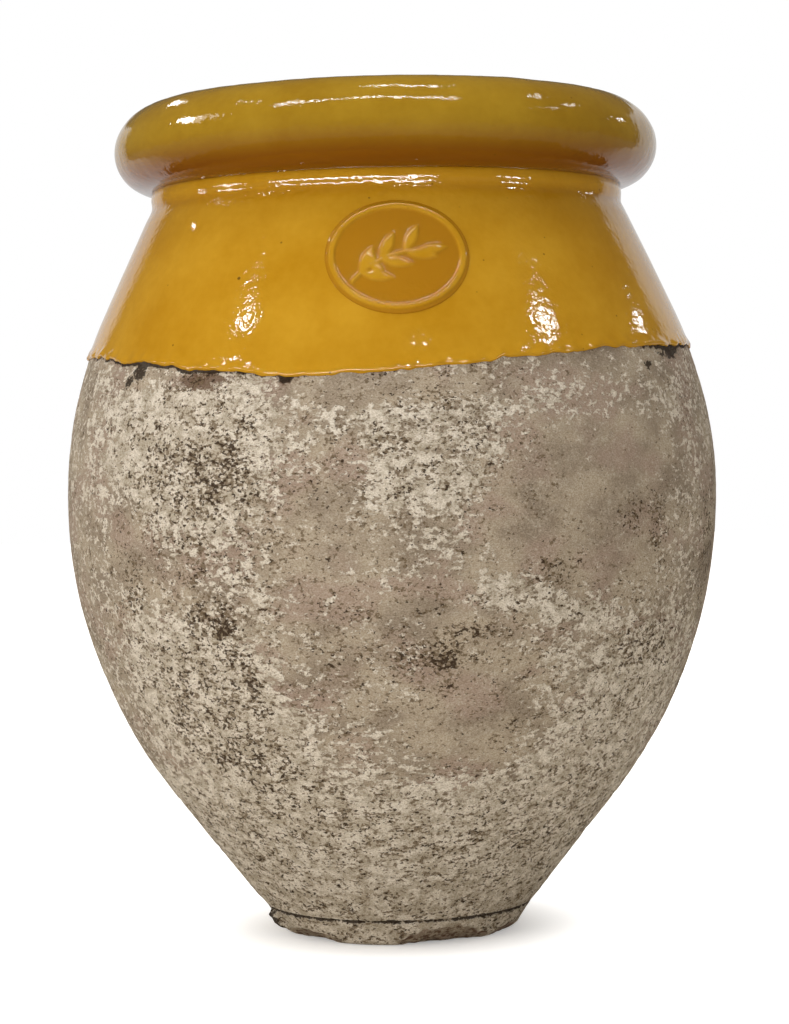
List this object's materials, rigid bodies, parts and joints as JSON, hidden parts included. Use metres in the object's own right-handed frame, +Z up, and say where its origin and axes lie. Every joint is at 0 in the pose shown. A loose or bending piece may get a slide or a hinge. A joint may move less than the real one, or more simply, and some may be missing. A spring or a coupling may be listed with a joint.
{
  "type": "olive jar",
  "caption": "Large round-bellied clay olive jar with a narrow foot, a glazed shoulder bearing an oval seal, and a thick rolled rim around a wide open mouth.",
  "frame": {"origin": "centre of the standing face under the foot", "axes": "+Z up along the axis of the wheel that the jar was turned on, -Y the front, which carries the seal"},
  "size_m": [0.512, 0.5118, 0.6514],
  "materials": {
    "limewashed_clay": "matt, weathered limewash",
    "raw_clay": "matt, bare fired clay",
    "yellow_glaze": "glossy ochre lead-type glaze"
  },
  "bodies": {
    "root": {"foot_slab": "limewashed_clay", "floor_coil": "raw_clay", "lower_wall": "limewashed_clay", "belly_wall": "limewashed_clay", "shoulder_wall": "limewashed_clay", "neck_collar": "raw_clay", "rim_roll": "raw_clay", "seal_pad": "yellow_glaze", "shoulder_glaze": "yellow_glaze", "rim_glaze": "yellow_glaze"}
  },
  "joints": []
}
